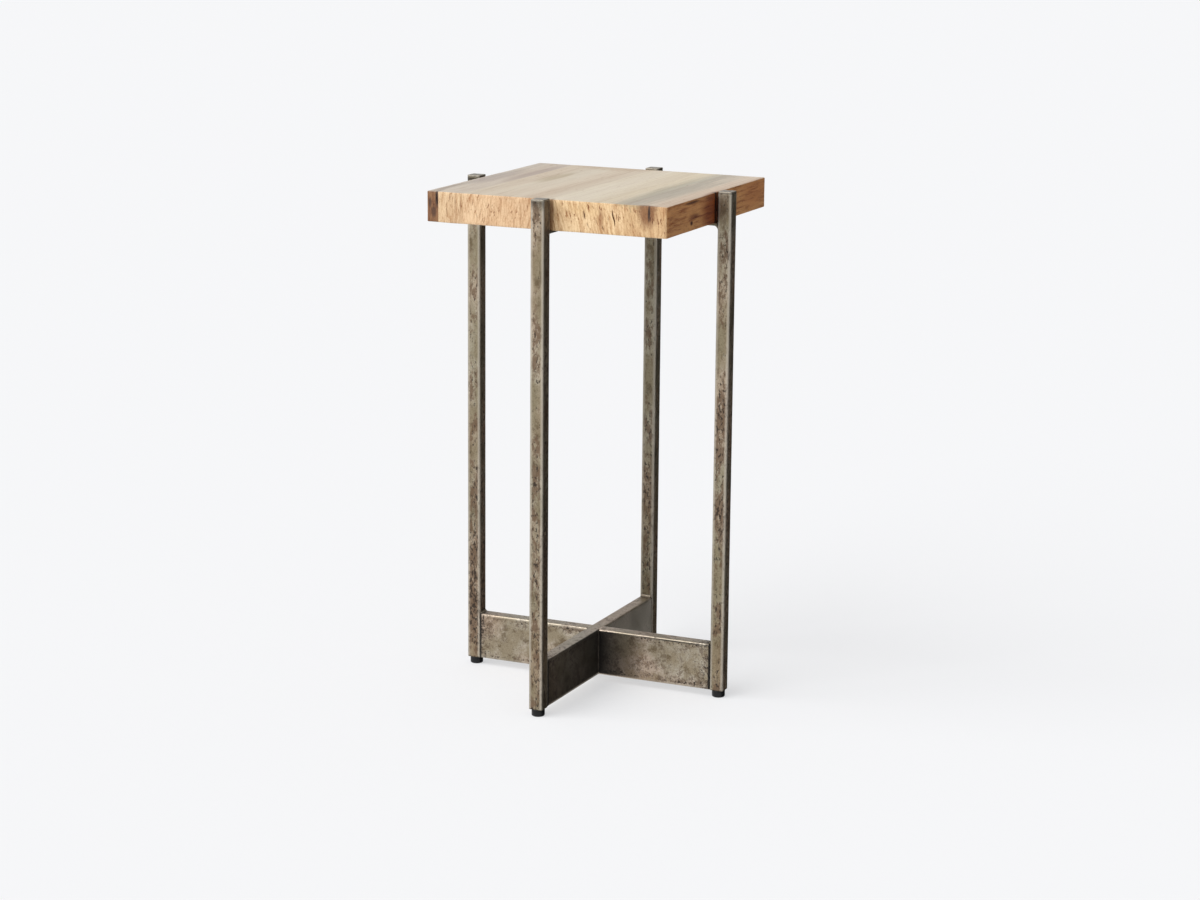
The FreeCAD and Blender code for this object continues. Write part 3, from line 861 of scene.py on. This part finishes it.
# The levelling feet: a black nylon pad moulded round the hexagon head of a zinc-plated M8 stud,
# which screws up into the plug. The pad's sole is rounded so that it slides over a carpet.
pad_outline = [(0.0, 0.0), (6.9, 0.0), (7.7, 0.25), (8.35, 0.8), (8.7, 1.6), (8.75, 2.3), (8.75, 7.1),
               (8.5, 7.3), (8.5, 7.7), (8.75, 7.9), (8.75, 9.3), (8.45, 9.75), (7.9, 9.85), (0.0, 9.85)]
pad_steps = 48
thread_pitch = 1.25 * mm
thread_root_radius = 3.38 * mm
thread_crest_radius = 4.0 * mm
thread_start = 0.3 * mm
thread_steps = 24
stud_head_across_flats = 13.0 * mm
stud_head_height = 5.3 * mm
stud_head_rim = 0.4 * mm
seam_merge = 0.002 * mm

nylon, tree, shader = new_material("black nylon")
place = lay(tree, "TexCoord").outputs["Object"]
scuffs = clouds(tree, place, (500, 500, 90), 4.0, 0.65).outputs[0]
black = mixed(tree, between(tree, scuffs, 0.5, 0.75), tone(9, 10, 13), tone(22, 23, 27))
fill(tree, shader, {"Specular IOR Level": 0.3, "Base Color": black,
                    "Normal": relief(tree, 0.3, 0.2 * mm, scuffs),
                    "Roughness": between(tree, scuffs, 0.3, 0.7, 0.28, 0.5)})


def spun(bm, middle, outline, steps, rise):
    """Turns an outline of reaches and heights once round an upright axis, climbing as a thread does."""
    points = [bm.verts.new((middle.x + reach, middle.y, level)) for reach, level in outline]
    edges = [bm.edges.new(pair) for pair in zip(points, points[1:])]
    bmesh.ops.spin(bm, geom=points + edges, cent=(middle.x, middle.y, 0), axis=(0, 0, 1), angle=math.tau,
                   steps=steps, dvec=(0, 0, rise / steps), use_merge=rise == 0)
    bmesh.ops.remove_doubles(bm, verts=bm.verts[:], dist=seam_merge)


for side in sides:
    low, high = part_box("foot_pad_" + side)
    middle = (low + high) / 2
    bm = bmesh.new()
    spun(bm, middle, [scaled(point) for point in pad_outline], pad_steps, 0.0)
    finished("nylon_pad_" + side, bm, nylon, "foot_" + side, "foot_pad_" + side)

    low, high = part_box("foot_stud_" + side)
    shoulder = low.z + stud_head_height
    teeth = round((high.z - shoulder) / thread_pitch) - 1
    outline = []
    for tooth in range(teeth):
        foot = shoulder + tooth * thread_pitch - thread_start
        outline += [(thread_root_radius, foot), (thread_crest_radius, foot + 0.42 * thread_pitch),
                    (thread_crest_radius, foot + 0.58 * thread_pitch)]
    outline.append((thread_root_radius, shoulder + teeth * thread_pitch - thread_start))
    bm = bmesh.new()
    spun(bm, middle, outline, thread_steps, thread_pitch)
    bmesh.ops.holes_fill(bm, edges=[edge for edge in bm.edges if edge.is_boundary], sides=0)
    at = Vector((middle.x, middle.y, low.z))
    hexagon_head(bm, at, 0.0, stud_head_height, stud_head_across_flats, None, stud_head_rim)
    finished("threaded_stud_" + side, bm, plated, "foot_" + side, "foot_stud_" + side)

# The room: a plain pale floor that runs out of sight and is clear from below, one broad soft lamp
# high at the front left, pale light from all round, and a dark screen that only shows in the steel.
floor_reach = 30.0
floor_glow = 0.535
screen_place = Vector((2.6, 2.6, 0.0))
screen_width = 11.0
screen_height = 9.0
sky_strength = 0.48
seen_sky_strength = 0.93
softbox_strength = 2.6
softbox_width = math.radians(60)
softbox_turn = math.radians(-36)
softbox_lean = math.radians(50)
film_width = 36.0
focal_length = 87.051
camera_place = Vector((1.56416, -3.46149, 1.16768))
camera_turn = 0.423482
camera_dip = 0.219583
camera_roll = 0.008892


def straight_rays(tree):
    """One for the rays that see the background directly, in a mirror or through glass, else nothing."""
    path = lay(tree, "LightPath").outputs
    share = reckon(tree, "MAXIMUM", path["Is Camera Ray"], path["Is Glossy Ray"])
    return reckon(tree, "MAXIMUM", share, path["Is Transmission Ray"])


def sheet(name, size, place, material):
    """A flat square sheet of the room."""
    bm = bmesh.new()
    bmesh.ops.create_grid(bm, x_segments=1, y_segments=1, size=size, matrix=place)
    laid = as_object(name, bm, material)
    return laid


plain, tree, shader = new_material("pale floor")
seen = straight_rays(tree)
paint = mixed(tree, seen, tone(246, 246, 248), tone(172, 172, 173))
fill(tree, shader, {"Base Color": paint, "Roughness": 1.0, "Specular IOR Level": 0.0,
                    "Emission Color": tone(249, 250, 252),
                    "Emission Strength": reckon(tree, "MULTIPLY", seen, floor_glow)})
clear = lay(tree, "BsdfTransparent").outputs[0]
from_below = lay(tree, "NewGeometry").outputs["Backfacing"]
one_way = lay(tree, "MixShader", {0: from_below, 1: shader.outputs[0], 2: clear})
fill(tree, tree.nodes["Material Output"], {"Surface": one_way.outputs[0]})
floor = sheet("floor", floor_reach, Matrix.Identity(4), plain)
floor.visible_glossy = False

cloth, tree, shader = new_material("dark cloth")
fill(tree, shader, {"Base Color": tone(22, 20, 18)})
upright = Matrix.Rotation(math.radians(135), 4, "Z") @ Matrix.Rotation(math.radians(90), 4, "X")
stretched = Matrix.Diagonal((screen_width, screen_height, 1, 1))
screen = sheet("dark_screen", 0.5, Matrix.Translation(screen_place) @ upright @ stretched, cloth)
screen.visible_camera = False
screen.visible_diffuse = False
screen.visible_shadow = False
screen.visible_transmission = False

world = bpy.data.worlds.new("studio")
bpy.context.scene.world = world
world.use_nodes = True
tree = world.node_tree
seen = straight_rays(tree)
sky = lay(tree, "MapRange", {"Value": seen, "To Min": sky_strength, "To Max": seen_sky_strength})
fill(tree, tree.nodes["Background"], {"Color": (1.0, 1.0, 1.0, 1.0), "Strength": sky.outputs[0]})

lamp = bpy.data.lights.new("softbox", "SUN")
lamp.energy = softbox_strength
lamp.angle = softbox_width
softbox = bpy.data.objects.new("softbox", lamp)
aim = Matrix.Rotation(softbox_turn, 4, "Z") @ Matrix.Rotation(softbox_lean, 4, "X")
softbox.rotation_euler = aim.to_euler()
bpy.context.scene.collection.objects.link(softbox)

camera_data = bpy.data.cameras.new("camera")
camera_data.sensor_width = film_width
camera_data.lens = focal_length
camera = bpy.data.objects.new("camera", camera_data)
aim = Matrix.Rotation(camera_turn, 4, "Z") @ Matrix.Rotation(math.pi / 2 - camera_dip, 4, "X")
camera.matrix_world = Matrix.Translation(camera_place) @ aim @ Matrix.Rotation(camera_roll, 4, "Z")
bpy.context.scene.collection.objects.link(camera)
bpy.context.scene.camera = camera
bpy.context.scene.view_settings.view_transform = "Standard"
